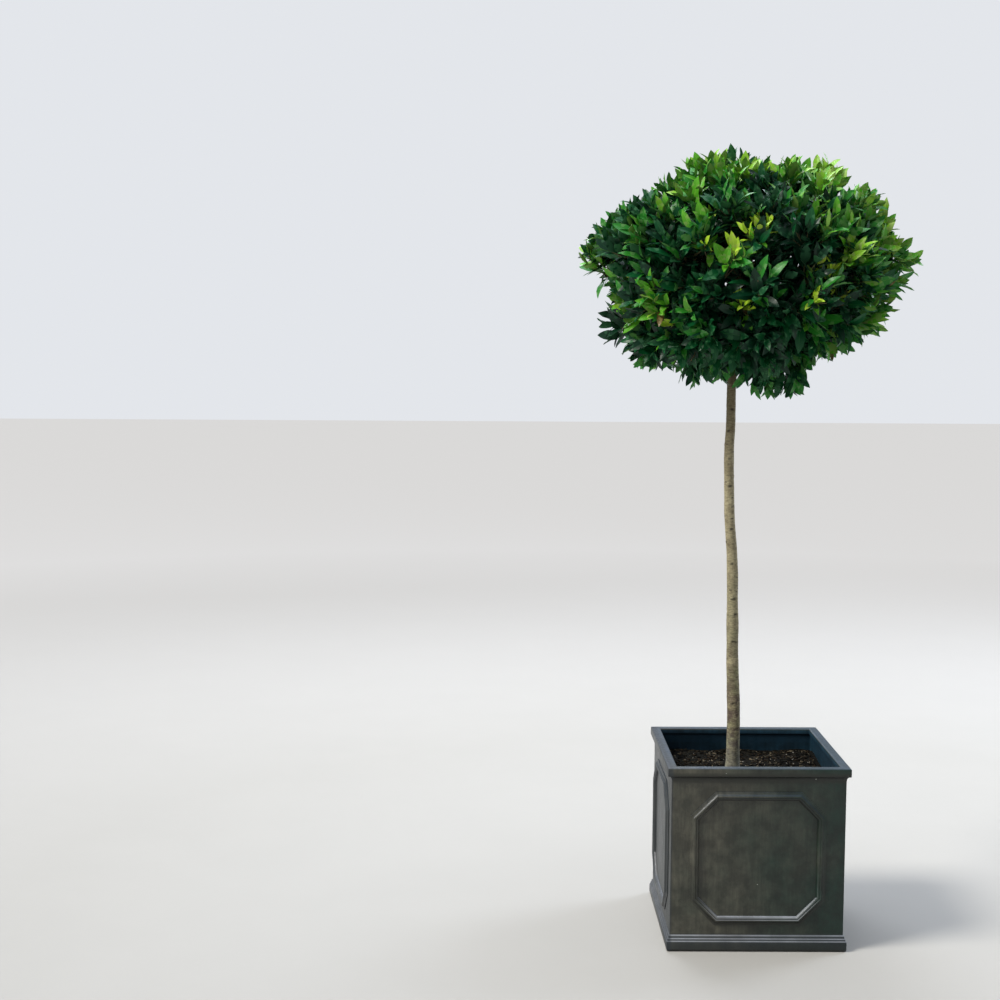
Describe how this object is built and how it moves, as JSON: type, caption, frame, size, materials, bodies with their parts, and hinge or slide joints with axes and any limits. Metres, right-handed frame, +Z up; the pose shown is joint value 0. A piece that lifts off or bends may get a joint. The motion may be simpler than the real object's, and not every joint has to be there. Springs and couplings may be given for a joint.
{
  "type": "standard bay topiary",
  "caption": "Standard bay tree with a clipped ball of foliage on one bare trunk, growing in a square panelled planter that stands on its flat underside.",
  "frame": {"origin": "middle of the planter's flat underside", "axes": "+Z up the trunk, -Y towards the planter's front face, +X to the right seen from the front"},
  "size_m": [0.8447, 0.8452, 1.9845],
  "materials": {
    "planter": "imitation lead, satin, dark grey with a paler patina on its upper edges",
    "compost": "matt, dark brown, crumbly",
    "bark": "matt, smooth grey-brown bark with small scars",
    "foliage": "glossy dark green leaves, younger ones paler"
  },
  "bodies": {
    "root": {"planter": "planter", "soil": "compost", "trunk": "bark", "bough_front": "bark", "bough_front_right": "bark", "bough_back_right": "bark", "bough_back": "bark", "bough_back_left": "bark", "bough_front_left": "bark", "bough_leader": "bark", "foliage_front": "foliage", "foliage_front_right": "foliage", "foliage_back_right": "foliage", "foliage_back": "foliage", "foliage_back_left": "foliage", "foliage_front_left": "foliage", "foliage_top": "foliage"}
  },
  "joints": []
}
